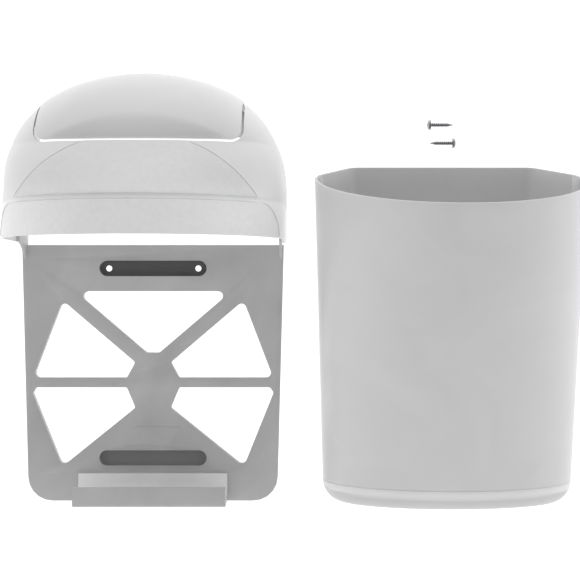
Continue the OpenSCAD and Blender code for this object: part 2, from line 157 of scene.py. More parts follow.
def points_of(piece: bpy.types.Object) -> np.ndarray:
    """A piece's points in metres, one row each."""
    verts = np.empty(len(piece.data.vertices) * 3)
    piece.data.vertices.foreach_get("co", verts)
    return verts.reshape(-1, 3)


def write_values(piece: bpy.types.Object, name: str, values: np.ndarray, domain: str = "POINT") -> None:
    """Writes a mesh attribute for a finish to read.

    Args:
        piece: The finished piece.
        name: The attribute's name.
        values: One value for each point or face.
        domain: POINT or FACE.
    """
    attribute = piece.data.attributes.new(name, "FLOAT", domain)
    attribute.data.foreach_set("value", values.astype(np.float32))


def evaluated(piece: bpy.types.Object) -> None:
    """Applies all of a piece's modifiers, so that its mesh is the finished one."""
    graph = bpy.context.evaluated_depsgraph_get()
    mesh = bpy.data.meshes.new_from_object(piece.evaluated_get(graph))
    piece.modifiers.clear()
    old = piece.data
    piece.data = mesh
    bpy.data.meshes.remove(old)


def combine(piece: bpy.types.Object, tool: bpy.types.Object, operation: str) -> None:
    """Combines a closed piece with a closed tool, which is then removed.

    Args:
        piece: The piece to change.
        tool: The solid that it is combined with.
        operation: UNION, DIFFERENCE or INTERSECT.
    """
    modifier = piece.modifiers.new("cut", "BOOLEAN")
    modifier.operation = operation
    modifier.solver = "EXACT"
    modifier.object = tool
    evaluated(piece)
    bpy.data.objects.remove(tool)


def shade_by_angle(piece: bpy.types.Object, degrees: float) -> None:
    """Shades a piece smooth, with a crease at each edge sharper than the angle given."""
    mesh = bmesh.new()
    mesh.from_mesh(piece.data)
    for face in mesh.faces:
        face.smooth = True
    for edge in mesh.edges:
        edge.smooth = len(edge.link_faces) == 2 and edge.calc_face_angle(0) < math.radians(degrees)
    mesh.to_mesh(piece.data)
    mesh.free()


def bevel(piece: bpy.types.Object, width: float, segments: int, degrees: float) -> None:
    """Rounds a piece's sharp edges and shades it smooth.

    Args:
        piece: The piece to round.
        width: The rounding's width in metres.
        segments: Number of faces across a rounding.
        degrees: Only edges sharper than this are rounded.
    """
    modifier = piece.modifiers.new("round", "BEVEL")
    modifier.width = width
    modifier.segments = segments
    modifier.limit_method = "ANGLE"
    modifier.angle_limit = math.radians(degrees)
    modifier.harden_normals = False
    evaluated(piece)
    shade_by_angle(piece, 32)


def prism(name: str, outline: np.ndarray, low: float, high: float, axis: int) -> bpy.types.Object:
    """A flat outline carried straight along one axis: each end is the outline at that end's place.

    Args:
        name: The piece's name.
        outline: Points of the outline in the two other axes, in X, Y, Z order.
        low: Place of one end along the axis.
        high: Place of the other end.
        axis: 0, 1 or 2 for X, Y or Z.

    Returns:
        A closed solid whose faces point outwards.
    """
    ends = [np.insert(outline, axis, place, axis=1) for place in (low, high)]
    return ring_stack(name, np.array(ends), smooth=False)


def outward(piece: bpy.types.Object) -> None:
    """Turns a closed piece's faces to point outwards."""
    mesh = bmesh.new()
    mesh.from_mesh(piece.data)
    bmesh.ops.remove_doubles(mesh, verts=mesh.verts, dist=1e-7)
    bmesh.ops.recalc_face_normals(mesh, faces=mesh.faces)
    mesh.to_mesh(piece.data)
    mesh.free()


def merged_copy(name: str, node: str) -> bpy.types.Object:
    """A copy of a CAD node's mesh with its loose triangles joined and its flat faces made whole."""
    piece = new_object(name, np.zeros((0, 3)), [])
    mesh = bmesh.new()
    mesh.from_mesh(frame["nodes"][node].data)
    bmesh.ops.remove_doubles(mesh, verts=mesh.verts, dist=2e-6)
    bmesh.ops.dissolve_limit(mesh, angle_limit=math.radians(1.0), verts=mesh.verts, edges=mesh.edges)
    mesh.to_mesh(piece.data)
    mesh.free()
    return piece


def tube(name: str, path: np.ndarray, radius: float, sides: int = 10) -> bpy.types.Object:
    """A round bead along a path: at each point a circle of the radius given, square to the path.

    Args:
        name: The piece's name.
        path: Points along the bead's middle.
        radius: The bead's radius, which falls to TAPER_END of itself at its two ends.
        sides: Number of points round the bead.

    Returns:
        A closed mesh with flat ends.
    """
    along = np.gradient(path, axis=0)
    along /= np.linalg.norm(along, axis=1)[:, None]
    across = np.cross(along, [0.0, 1.0, 0.0])
    across /= np.linalg.norm(across, axis=1)[:, None]
    up = np.cross(across, along)
    turn = np.linspace(0, 2 * np.pi, sides, endpoint=False)
    place = np.linspace(0, 1, len(path))
    size = radius * np.clip(np.minimum(place, 1 - place) / TAPER_RUN, TAPER_END, 1.0)
    rings = path[:, None, :] + size[:, None, None] * (
        np.cos(turn)[None, :, None] * across[:, None, :] + np.sin(turn)[None, :, None] * up[:, None, :])
    return ring_stack(name, rings)


def smooth_step(value: np.ndarray, low: float, high: float) -> np.ndarray:
    """Rises smoothly from 0 at low to 1 at high."""
    t = np.clip((value - low) / (high - low), 0.0, 1.0)
    return t * t * (3 - 2 * t)


# Materials ------------------------------------------------------------------------------------


class NodeTree:
    """The nodes of a material or of the room's light, each added and fed in one call."""

    def __init__(self, owner: bpy.types.Material | bpy.types.World) -> None:
        """Turns the owner's nodes on and keeps them at hand."""
        owner.use_nodes = True
        self.nodes, self.links = owner.node_tree.nodes, owner.node_tree.links

    def feed(self, node: bpy.types.Node, inputs: dict) -> bpy.types.Node:
        """Fills a node's inputs.

        Args:
            node: The node.
            inputs: For an input's name or number, a value or the socket that feeds it.

        Returns:
            The same node.
        """
        for key, source in inputs.items():
            if isinstance(source, bpy.types.NodeSocket):
                self.links.new(source, node.inputs[key])
            else:
                node.inputs[key].default_value = source
        return node

    def add(self, kind: str, inputs: dict, **settings: str) -> bpy.types.Node:
        """Adds a node.

        Args:
            kind: What follows ShaderNode in its type.
            inputs: As for feed.
            settings: The node's own settings.

        Returns:
            The new node.
        """
        node = self.nodes.new(f"ShaderNode{kind}")
        for name, value in settings.items():
            setattr(node, name, value)
        return self.feed(node, inputs)

    def attribute(self, name: str) -> bpy.types.NodeSocket:
        """The value of a mesh attribute."""
        return self.add("Attribute", {}, attribute_name=name).outputs["Fac"]

    def place(self) -> bpy.types.NodeSocket:
        """The Object coordinates."""
        return self.add("TexCoord", {}).outputs["Object"]

    def noise(self, place: bpy.types.NodeSocket, scale: float, detail: float,
              distortion: float = 0.0) -> bpy.types.NodeSocket:
        """A cloudy pattern from 0 to 1."""
        inputs = {"Scale": scale, "Detail": detail, "Distortion": distortion, "Vector": place}
        return self.add("TexNoise", inputs).outputs["Fac"]

    def product(self, first: bpy.types.NodeSocket, second: bpy.types.NodeSocket) -> bpy.types.NodeSocket:
        """Two values multiplied."""
        return self.add("Math", {0: first, 1: second}, operation="MULTIPLY").outputs["Value"]

    def between(self, amount: bpy.types.NodeSocket, low: float, high: float) -> bpy.types.NodeSocket:
        """A value from low to high as the amount goes from 0 to 1."""
        return self.add("MapRange", {"To Min": low, "To Max": high, "Value": amount}).outputs["Result"]

    def tones(self, amount: bpy.types.NodeSocket, stops: list[tuple[float, tuple]]) -> bpy.types.NodeSocket:
        """A colour between two stops, each a place from 0 to 1 and a tone."""
        ramp = self.add("ValToRGB", {"Fac": amount})
        for element, (place, tone) in zip(ramp.color_ramp.elements, stops):
            element.position = place
            element.color = (*tone, 1)
        return ramp.outputs["Color"]


@dataclass(frozen=True)
class Plastic:
    """A moulded plastic: its tone, gloss, faint flow marks and fine skin.

    Where grain names a mesh attribute, the grain shows where it is 1. Where shade names one, it multiplies
    the colour by painted light and shade, so some regions are darker or lighter.
    """

    name: str
    tone: tuple[float, float, float]
    roughness: float
    grain: str = ""
    mottle: float = 0.03
    shade: str = ""

    def build(self) -> bpy.types.Material:
        """Makes the material.

        Returns:
            A node material that reads Object coordinates.
        """
        material = bpy.data.materials.new(self.name)
        tree = NodeTree(material)
        place = tree.place()
        flow = tree.noise(place, scale=14.0, detail=5.0, distortion=1.2)
        darkest = tuple(c * (1 - self.mottle) for c in self.tone)
        lightest = tuple(min(1.0, c * (1 + self.mottle)) for c in self.tone)
        colour = tree.tones(flow, [(0.3, darkest), (0.7, lightest)])
        speck = tree.noise(place, scale=420.0, detail=2.0)
        skin = {"Strength": 0.12, "Distance": 0.08 * MM, "Height": speck}
        normal = tree.add("Bump", skin).outputs["Normal"]
        if self.grain:
            colour, normal = self._grained(tree, place, colour, normal)
        # Painted light and shade: the shade attribute scales the colour.
        if self.shade:
            scaled = {0: colour, "Scale": tree.attribute(self.shade)}
            colour = tree.add("VectorMath", scaled, operation="SCALE").outputs["Vector"]
        tree.feed(tree.nodes["Principled BSDF"], {
            "IOR": 1.46,
            "Subsurface Weight": 0.06,
            "Subsurface Radius": (4 * MM, 4 * MM, 4 * MM),
            "Roughness": tree.between(flow, self.roughness - 0.05, self.roughness + 0.07),
            "Base Color": colour,
            "Normal": normal,
        })
        return material

    def _grained(self, tree: NodeTree, place: bpy.types.NodeSocket, colour: bpy.types.NodeSocket,
                 normal: bpy.types.NodeSocket) -> tuple[bpy.types.NodeSocket, bpy.types.NodeSocket]:
        """Adds pebbled grain where the mesh attribute is 1: 0.6 of each pebble's distance plus the wear.

        Args:
            tree: The material's nodes.
            place: Socket with Object coordinates.
            colour: Socket with the plain colour.
            normal: Socket with the plain skin's normal.

        Returns:
            The grained colour's socket and the grained normal's socket.
        """
        mask = tree.attribute(self.grain)
        pebbles = tree.add("TexVoronoi", {"Scale": 900.0, "Vector": place}).outputs["Distance"]
        worn = tree.noise(place, scale=260.0, detail=3.0)
        height = tree.add("Math", {0: pebbles, 1: 0.6, 2: worn}, operation="MULTIPLY_ADD").outputs["Value"]
        height = tree.product(height, mask)
        relief = {"Strength": 0.4, "Distance": 0.3 * MM, "Height": height, "Normal": normal}
        darker = {"Color2": (0.9, 0.9, 0.9, 1), "Fac": tree.product(worn, mask), "Color1": colour}
        mixed = tree.add("MixRGB", darker, blend_type="MULTIPLY")
        return mixed.outputs["Color"], tree.add("Bump", relief).outputs["Normal"]


@dataclass(frozen=True)
class PlatedSteel:
    """Bright zinc-plated steel with a fine cloudy grain."""

    name: str
    tone: tuple[float, float, float]
    roughness: float

    def build(self) -> bpy.types.Material:
        """Makes the material.

        Returns:
            A node material that reads Object coordinates.
        """
        material = bpy.data.materials.new(self.name)
        tree = NodeTree(material)
        cloud = tree.noise(tree.place(), scale=600.0, detail=4.0)
        dull = tuple(c * 0.8 for c in self.tone)
        bump = {"Strength": 0.2, "Distance": 0.05 * MM, "Height": cloud}
        tree.feed(tree.nodes["Principled BSDF"], {
            "Metallic": 1.0,
            "Base Color": tree.tones(cloud, [(0.0, dull), (1.0, self.tone)]),
            "Roughness": tree.between(cloud, self.roughness - 0.06, self.roughness + 0.1),
            "Normal": tree.add("Bump", bump).outputs["Normal"],
        })
        return material


HOOD_FINISH = Plastic("hood_white", (0.8, 0.8, 0.805), 0.42, grain="grain", mottle=0.02, shade="shade")
FLAP_FINISH = Plastic("flap_white", (0.77, 0.77, 0.775), 0.38, mottle=0.02)
PLATE_FINISH = Plastic("plate_grey", (0.56, 0.56, 0.565), 0.42, mottle=0.07, shade="shade")
BIN_FINISH = Plastic("bin_grey_white", (0.73, 0.73, 0.735), 0.32, mottle=0.025, shade="shade")
SCREW_FINISH = PlatedSteel("screw_plate", (0.42, 0.42, 0.44), 0.22)


def dress(piece: bpy.types.Object, finish: Plastic | PlatedSteel, body: str) -> bpy.types.Object:
    """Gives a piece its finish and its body.

    Args:
        piece: The finished piece.
        finish: What it is made of.
        body: The CAD body that it moves with.

    Returns:
        The same piece.
    """
    material = bpy.data.materials.get(finish.name) or finish.build()
    piece.data.materials.clear()
    piece.data.materials.append(material)
    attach(piece, body)
    log.info("%s: %d faces", piece.name, len(piece.data.polygons))
    return piece


# Hood and flap --------------------------------------------------------------------------------

Relief = Callable[[np.ndarray, np.ndarray], np.ndarray]


def bulge(t: np.ndarray, power: float) -> np.ndarray:
    """A superellipse: how far out it still is, from 1 to 0, at the part t of its height."""
    return np.power(np.maximum(0.0, 1 - np.power(np.clip(t, 0, 1), power)), 1 / power)


@dataclass
class HoodSurface:
    """The surface that the hood and the flap share, in metres.

    Each level ring runs from the wall up the left side, round a superellipse front and back to the wall.
    Its half width and its depth both shrink towards the crest.
    """

    low: np.ndarray = field(default_factory=lambda: np.array(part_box("hood")[0]))
    high: np.ndarray = field(default_factory=lambda: np.array(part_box("hood")[1]))
    band_out: float = 1.5 * MM
    band_depth: float = 12 * MM
    band_fade: float = 1.5 * MM
    skirt: float = 29 * MM
    lean: float = 6 * MM
    edge_rise: float = 71 * MM
    edge_depth: float = 128 * MM
    crest_depth: float = 64 * MM
    side_run: float = 70 * MM
    shoulder: float = 91 * MM
    shoulder_power: float = 2.3
    dome_power: float = 1.6
    crown: float = 0.5 * MM
    squarer: float = 0.65
    wall: float = 2.4 * MM
    side_steps: int = 14

    @property
    def half(self) -> float:
        """Half the hood's width, inside its rear band."""
        return (self.high[0] - self.low[0]) / 2 - self.band_out

    @property
    def depth(self) -> float:
        """The hood's depth at its rim."""
        return self.high[1] - self.low[1]

    @property
    def rim(self) -> float:
        """Height of the rim."""
        return self.low[2]

    @property
    def crest(self) -> float:
        """Height of the top."""
        return self.high[2]

    @property
    def edge(self) -> float:
        """Height of the flap's lower edge."""
        return self.rim + self.edge_rise

    def half_at(self, z: np.ndarray) -> np.ndarray:
        """Half the width at height z: upright, then a superellipse over the shoulders."""
        shoulder_z = self.crest - self.shoulder
        part = np.maximum(0, z - shoulder_z) / (self.shoulder + self.crown)
        return self.half * bulge(part, self.shoulder_power)

    def depth_at(self, z: np.ndarray) -> np.ndarray:
        """Depth of the middle line at height z: a leaning skirt, a sloping panel, then a domed top."""
        skirt_z = self.rim + self.skirt
        skirt = self.depth - self.lean * np.clip((z - self.rim) / self.skirt, 0, 1)
        part = np.clip((z - skirt_z) / (self.edge - skirt_z), 0, 1)
        panel = (self.depth - self.lean - self.edge_depth) * part
        rise = np.clip((z - self.edge) / (self.crest - self.edge), 0, 1)
        dome = (self.edge_depth - self.crest_depth) * (1 - bulge(rise, self.dome_power))
        return skirt - panel - dome

    def power_at(self, z: np.ndarray) -> np.ndarray:
        """Squareness in plan at height z: an ellipse at the skirt, squarer from the flap's edge up."""
        skirt_z = self.rim + self.skirt
        return 2 + self.squarer * smooth_step(z, skirt_z, self.edge)

    def front(self, x: np.ndarray, z: np.ndarray) -> np.ndarray:
        """Y of the front surface at x and z: the side's straight run plus a superellipse's depth."""
        depth = self.depth_at(z)
        run = self.side_run * depth / self.depth
        power = self.power_at(z)
        across = np.clip(np.abs(x) / np.maximum(self.half_at(z), 1e-6), 0, 1)
        return -(run + (depth - run) * np.power(np.maximum(0, 1 - np.power(across, power)), 1 / power))

    def levels(self, count: int) -> np.ndarray:
        """Heights of the rings: even up to the flap's edge, then closing towards the crest as a sine."""
        skirt_z = self.rim + self.skirt
        lower = np.linspace(self.rim, skirt_z, count // 4, endpoint=False)
        middle = np.linspace(skirt_z, self.edge, count // 3, endpoint=False)
        turn = np.linspace(0, np.pi / 2, count - len(lower) - len(middle))
        upper = self.edge + (self.crest - self.edge) * np.sin(turn)
        return np.concatenate([lower, middle, upper])

    def ring(self, z: np.ndarray, around: int, inset: float) -> np.ndarray:
        """Level rings as one array.

        Args:
            z: Heights of the rings.
            around: Number of points on each half of the front.
            inset: Distance inside the outer surface.

        Returns:
            Points of shape (rings, points, 3).
        """
        depth = self.depth_at(z) - inset
        run = self.side_run * self.depth_at(z) / self.depth
        half = self.half_at(z) - inset
        power = 2 / self.power_at(z)
        band = 0.0 if inset else self.band_out
        angle = np.linspace(0, np.pi / 2, around)
        straight = np.linspace(0, 1, self.side_steps, endpoint=False)[:, None] * run[None, :]
        band_end = self.band_depth + self.band_fade
        wide = half[None, :] + band * (1 - smooth_step(straight, self.band_depth, band_end))
        curve_x = half[None, :] * np.cos(angle)[:, None] ** power[None, :]
        curve_d = run[None, :] + (depth - run)[None, :] * np.sin(angle)[:, None] ** power[None, :]
        x = np.vstack([-wide, -curve_x])
        d = np.vstack([straight, curve_d])
        x = np.vstack([x, -x[-2::-1]])
        d = np.vstack([d, d[-2::-1]])
        rise = (z - self.rim) / (self.crest - self.rim)
        height = z - inset * smooth_step(rise, 0, 1)
        return np.stack([x.T, -d.T, np.broadcast_to(height[:, None], x.T.shape)], axis=-1)

    def shell(self, name: str, levels: int, around: int, relief: Relief,
              through: bool = False) -> bpy.types.Object:
        """A shell open at the wall and below: an outer and an inner stack of rings, joined at their edges.

        Args:
            name: The piece's name.
            levels: Number of rings.
            around: Number of points on each half of the front.
            relief: A function from points and outward directions to the points that the outer face takes.
            through: Whether the inner face follows the relief.

        Returns:
            The shell as a closed mesh.
        """
        z = self.levels(levels)
        outer = self.ring(z, around, 0.0)
        inner = self.ring(z, around, self.wall)
        way = np.cross(np.gradient(outer, axis=1), np.gradient(outer, axis=0))
        way /= np.maximum(np.linalg.norm(way, axis=-1), 1e-12)[..., None]
        shaped = relief(outer, way)
        if through:
            inner = inner + shaped - outer
        outer = shaped
        rows, columns = outer.shape[:2]
        skip = rows * columns
        skin = grid_faces(rows, columns)
        lining = skin[:, ::-1] + skip
        i = np.arange(columns - 1)
        rim = np.stack([i, i + skip, i + 1 + skip, i + 1], axis=-1)
        j = np.arange(rows - 1) * columns
        left = np.stack([j, j + columns, j + columns + skip, j + skip], axis=-1)
        right = (left + columns - 1)[:, ::-1]
        top = (rows - 1) * columns
        middle = (columns - 1) // 2
        k = np.arange(middle - 1)
        cap = np.stack([top + k, top + k + 1, top + columns - 2 - k, top + columns - 1 - k], axis=-1)
        roof = cap[:, ::-1] + skip
        tip = np.array([[top + middle - 1, top + middle, top + middle + 1]])
        end = [top, top + columns - 1, top + columns - 1 + skip, top + skip]
        quads = np.vstack([skin, lining, rim, left, right, cap, roof])
        faces = [*quads.tolist(), *tip.tolist(), *(tip[:, ::-1] + skip).tolist(), end]
        piece = new_object(name, np.concatenate([outer.reshape(-1, 3), inner.reshape(-1, 3)]), faces)
        outward(piece)
        return piece


@dataclass
class FlapOutline:
    """The flap's outline from the front: a rectangle with two rounded lower corners, in metres."""

    surface: HoodSurface
    half: float = 77 * MM
    corner: float = 9 * MM
    beyond: float = 20 * MM

    def points(self, grow: float, top: float, steps: int = 10) -> np.ndarray:
        """The outline as [x, z], from the upper right down, along the lower edge and up the left.

        Args:
            grow: Distance outside the flap's own edge.
            top: Height at which the two sides end.
            steps: Number of steps in a corner.

        Returns:
            The outline's points.
        """
        half, low, r = self.half + grow, self.surface.edge - grow, self.corner + grow
        turn = np.linspace(0, np.pi / 2, steps)
        right = np.stack([half - r + r * np.cos(turn), low + r - r * np.sin(turn)], axis=-1)
        left = right[::-1] * [-1, 1]
        return np.vstack([[half, top], right, left, [-half, top]])

    def tool(self, grow: float, back: float) -> bpy.types.Object:
        """A solid of the outline, from a depth behind the flap to well in front of the hood."""
        outline = self.points(grow, self.surface.crest + self.beyond)
        return prism("tool", outline, -self.surface.depth - self.beyond, -back, 1)


@dataclass
class HingeLine:
    """Where the flap's hinge axis lies, in metres."""

    depth: float
    height: float

    @staticmethod
    def read() -> "HingeLine":
        """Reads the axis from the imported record's hinge."""
        place = next(j["pos_m"] for j in frame["joints"] if j["name"] == "flap_hinge")
        return HingeLine(-place[1], place[2])

    def arc(self, radius: float, start: float, end: float, steps: int, closed: bool = False) -> np.ndarray:
        """An arc about the axis.

        Args:
            radius: The arc's radius.
            start: The first point's angle.
            end: The last point's angle.
            steps: Number of points.
            closed: Whether the last point is left out, because the arc ends where it starts.

        Returns:
            Points as [y, z].
        """
        turn = np.linspace(start, end, steps, endpoint=not closed)
        return np.stack([-self.depth + radius * np.cos(turn), self.height + radius * np.sin(turn)], axis=-1)


@dataclass
class Hood:
    """The hood: a shell with two raised grained panels, a back wall and two hinge lugs."""

    surface: HoodSurface
    outline: FlapOutline
    flap_gap: float = 1.2 * MM
    strip: float = 9 * MM
    relief: float = 0.8 * MM
    fan_half: float = 89 * MM
    fan_rise: float = 47.5 * MM
    bead: float = 4.0 * MM
    line: float = 0.55 * MM
    line_sink: float = 0.75
    band_top_half: float = 92 * MM
    band_widens: float = 12.5 * MM
    panel_edge: float = 0.9 * MM
    grain_edge: float = 0.8 * MM
    painted_shade_reach: float = 12 * MM
    painted_shade: float = 0.35
    skirt_painted_light: float = 0.18
    rear_wall_height: float = 42 * MM
    lug_x: float = 38 * MM
    lug_half: float = 2 * MM
    boss_radius: float = 4.48 * MM
    pin_hole: float = 2.08 * MM
    arm_back: float = 1.2 * MM

    @property
    def fan_low(self) -> float:
        """Height of the upper panel's lower edge."""
        return self.surface.rim + self.surface.skirt

    @property
    def band_top(self) -> float:
        """Height of the lower panel's upper edge."""
        return self.fan_low - self.bead

    @property
    def fan_radius(self) -> float:
        """Radius of the upper panel's arc, from its chord and its height."""
        return (self.fan_half**2 + self.fan_rise**2) / (2 * self.fan_rise)

    def fan_top(self, x: np.ndarray) -> np.ndarray:
        """Height of the upper panel's arc at x."""
        centre = self.fan_low + self.fan_rise - self.fan_radius
        return centre + np.sqrt(np.maximum(0, self.fan_radius**2 - x**2))

    def band_half(self, z: np.ndarray) -> np.ndarray:
        """Half the lower panel's width at height z: it widens towards the rim as a quarter ellipse does."""
        t = np.clip((z - self.surface.rim) / (self.band_top - self.surface.rim), 0, 1)
        return self.band_top_half + self.band_widens * np.sqrt(np.maximum(0, 1 - t**2))

    def panel_mask(self, x: np.ndarray, z: np.ndarray, soft: float) -> np.ndarray:
        """1 on the two raised panels and 0 off them, over a soft edge."""
        fan = smooth_step(z, self.fan_low - soft, self.fan_low + soft)
        fan = fan * (1 - smooth_step(z - self.fan_top(x), -soft, soft))
        band = 1 - smooth_step(z, self.band_top - soft, self.band_top + soft)
        band = band * (1 - smooth_step(np.abs(x) - self.band_half(z), -soft, soft))
        return np.clip(fan + band, 0, 1)

    def raise_panels(self, points: np.ndarray, way: np.ndarray) -> np.ndarray:
        """Sinks the outer face everywhere but on the panels, fading out towards the wall."""
        x, y, z = points[..., 0], points[..., 1], points[..., 2]
        mask = self.panel_mask(x, z, self.panel_edge)
        near_front = smooth_step(-y, 45 * MM, 60 * MM)
        sink = self.relief * (1 - mask) * near_front
        return points - way * sink[..., None]

    def build(self, quick: bool) -> None:
        """Makes and dresses every piece of the hood."""
        levels, around = (90, 60) if quick else (150, 110)
        shell = self.surface.shell("hood_shell", levels, around, self.raise_panels)
        combine(shell, self.outline.tool(self.flap_gap, self.strip), "DIFFERENCE")
        shade_by_angle(shell, 38)
        x, y, z = points_of(shell).T
        near_front = smooth_step(-y, 50 * MM, 70 * MM)
        write_values(shell, "grain", self.panel_mask(x, z, self.grain_edge) * near_front)
        # Painted light and shade per face: shade at the flap's opening, light on the skirt.
        write_values(shell, "shade", self.shade_faces(shell.data), "FACE")
        dress(shell, HOOD_FINISH, "bracket")
        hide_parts("hood")
        self.lines()
        self.rear_parts()

    def shade_faces(self, mesh: bpy.types.Mesh) -> np.ndarray:
        """How light each face looks: painted shade on faces square to the wall at the opening (its walls and
        the strip's outer face behind it) and just inside it, painted light on the skirt.

        Args:
            mesh: The finished shell.

        Returns:
            One value for each face.
        """
        count = len(mesh.polygons)
        way, place = np.empty(count * 3), np.empty(count * 3)
        mesh.polygons.foreach_get("normal", way)
        mesh.polygons.foreach_get("center", place)
        way, place = way.reshape(-1, 3), place.reshape(-1, 3)
        heart = np.array([0.0, -60 * MM, self.surface.rim + 40 * MM])
        lining = np.einsum("ij,ij->i", way, place - heart) < 0
        x, z = place[:, 0], place[:, 2]
        half, foot = self.outline.half + self.flap_gap, self.surface.edge - self.flap_gap
        level, slack, reach = 0.02, 0.3 * MM, self.painted_shade_reach
        wall = (np.abs(way[:, 1]) < level) & (z > foot - slack) & (np.abs(x) < half + slack)
        near = (z > foot - reach) & (np.abs(x) < half + reach)
        lighter = self.skirt_painted_light * (1 - smooth_step(z, self.band_top, self.fan_low))
        skirt = np.where(lining, 0.0, lighter)
        # Painted shade where the opening's mask holds, painted light on the skirt elsewhere.
        return np.where(wall | (lining & near), self.painted_shade, 1.0 + skirt)

    def on_surface(self, x: np.ndarray, z: np.ndarray, sink: float) -> np.ndarray:
        """Points on the front surface at x and z, a distance sink behind it."""
        return np.stack([x, self.surface.front(x, z) + sink, z], axis=-1)

    def bead_along(self, name: str, x: np.ndarray, z: np.ndarray) -> None:
        """Makes and dresses one fine bead on the front surface, sunk by line_sink of its radius."""
        bead = tube(name, self.on_surface(x, z, self.line * self.line_sink), self.line)
        dress(bead, FLAP_FINISH, "bracket")

    def lines(self) -> None:
        """The fine rounded edges of the two panels."""
        edge = self.surface.edge - self.flap_gap
        x = np.linspace(-self.fan_half, self.fan_half, 160)
        inner_end = np.abs(x[self.fan_top(x) > edge - 1 * MM]).max()
        for side in Side:
            label = side.name.lower()
            x = np.linspace(self.fan_half, inner_end, 60) * side.value
            self.bead_along(f"fan_edge_{label}", x, self.fan_top(x))
            z = np.linspace(self.surface.rim + 1 * MM, self.band_top, 30)
            self.bead_along(f"band_end_{label}", self.band_half(z) * side.value, z)
        fan_foot = ("fan_foot", self.fan_low, self.fan_half)
        band_head = ("band_head", self.band_top, self.band_top_half)
        for name, height, half in (fan_foot, band_head):
            x = np.linspace(-half, half, 160)
            self.bead_along(name, x, np.full_like(x, height))

    def rear_parts(self) -> None:
        """The wall that closes the back of the dome and the two lugs that hold the flap's pins."""
        s = self.surface
        low, top = s.crest - self.rear_wall_height, s.crest - s.wall / 2
        z = low + (top - low) * np.sin(np.linspace(0, np.pi / 2, 40))
        right = np.stack([s.half_at(z) - s.wall / 2, z], axis=-1)
        wall = prism("hood_rear_wall", np.vstack([right, right[::-1] * [-1, 1]]), -s.wall, 0.0, 1)
        bevel(wall, SMALL_ROUND, 2, 40)
        dress(wall, FLAP_FINISH, "bracket")
        for side in Side:
            dress(self.lug(side), FLAP_FINISH, "bracket")

    def lug(self, side: Side) -> bpy.types.Object:
        """One hinge lug: an arm up to a round boss with the pin's hole through it."""
        pin = HingeLine.read()
        r, back = self.boss_radius, -self.arm_back
        boss = pin.arc(r, 0, np.pi, 28)
        front_foot, wall_foot = pin.height - 16 * MM, pin.height - 26 * MM
        wall_top, rear_neck = pin.height - 16 * MM, pin.height - 12 * MM
        arm = np.array([[-pin.depth - r, front_foot], [back, wall_foot], [back, wall_top],
                        [-pin.depth + r, rear_neck]])
        x, half = side.value * self.lug_x, self.lug_half
        piece = prism(f"hinge_lug_{side.name.lower()}", np.vstack([boss, arm]), x - half, x + half, 0)
        bore = pin.arc(self.pin_hole, 0, 2 * np.pi, 40, closed=True)
        combine(piece, prism("tool", bore, x - 2 * half, x + 2 * half, 0), "DIFFERENCE")
        bevel(piece, FINE_ROUND, 2, 50)
        return piece


@dataclass
class Flap:
    """The lift-up flap: a part of the hood's surface with a finger scoop, two ears and two pins."""

    surface: HoodSurface
    outline: FlapOutline
    tail: float = 5 * MM
    scoop_half: float = 66 * MM
    scoop_rise: float = 19 * MM
    scoop_depth: float = 4.2 * MM
    lip: float = 1.6 * MM
    lip_fade: float = 1.2 * MM
    edge_in: float = 0.6 * MM
    ear_inner: float = 40.5 * MM
    ear_outer: float = 44.5 * MM
    ear_radius: float = 3 * MM
    ear_drop: float = 7.2 * MM
    pin_inner: float = 35 * MM
    pin_radius: float = 2 * MM
    pin_overlap: float = 0.1 * MM

    def scooped(self, points: np.ndarray, way: np.ndarray) -> np.ndarray:
        """Hollows the lower front: from a shallow arc it turns in towards a narrow lip at the lower edge."""
        x, z = points[..., 0], points[..., 2]
        reach = np.clip(1 - (x / self.scoop_half) ** 2, 0, 1)
        low = self.surface.edge + self.lip
        top = low + self.scoop_rise * reach
        t = np.clip((z - low) / np.maximum(top - low, 1e-6), 0, 1)
        dip = self.scoop_depth * np.minimum(1, 1.6 * reach) * (1 - smooth_step(t, 0, 1))
        dip = dip * smooth_step(z, low - self.lip_fade, low)
        front = smooth_step(-points[..., 1], 60 * MM, 80 * MM)
        return points - way * (dip * front)[..., None]

    def build(self, quick: bool) -> None:
        """Makes and dresses every piece of the flap."""
        pin = HingeLine.read()
        levels, around = (90, 60) if quick else (150, 110)
        skin = self.surface.shell("flap_skin", levels, around, self.scooped, through=True)
        combine(skin, self.outline.tool(-self.edge_in, pin.depth - self.tail), "INTERSECT")
        shade_by_angle(skin, 38)
        dress(skin, FLAP_FINISH, "flap")
        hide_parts("flap")
        for side in Side:
            self.ear(side, pin)

    def ear(self, side: Side, pin: HingeLine) -> None:
        """One ear under the flap and the pin on it that runs in the hood's lug."""
        r, top = self.ear_radius, self.surface.crest - self.ear_drop
        round_end = pin.arc(r, np.pi, 2 * np.pi, 24)
        outline = np.vstack([round_end, [-pin.depth + r, top], [-pin.depth - r, top]])
        circle = pin.arc(self.pin_radius, 0, 2 * np.pi, 48, closed=True)
        ear = ("flap_ear", outline, self.ear_inner, self.ear_outer, FINE_ROUND)
        rod = ("hinge_pin", circle, self.pin_inner, self.ear_inner + self.pin_overlap, SMALL_ROUND)
        for name, shape, inner, outer, rounding in (ear, rod):
            low, high = sorted((side.value * inner, side.value * outer))
            piece = prism(f"{name}_{side.name.lower()}", shape, low, high, 0)
            bevel(piece, rounding, 2, 50)
            dress(piece, FLAP_FINISH, "flap")


# Plate, bin and screws ------------------------------------------------------------------------


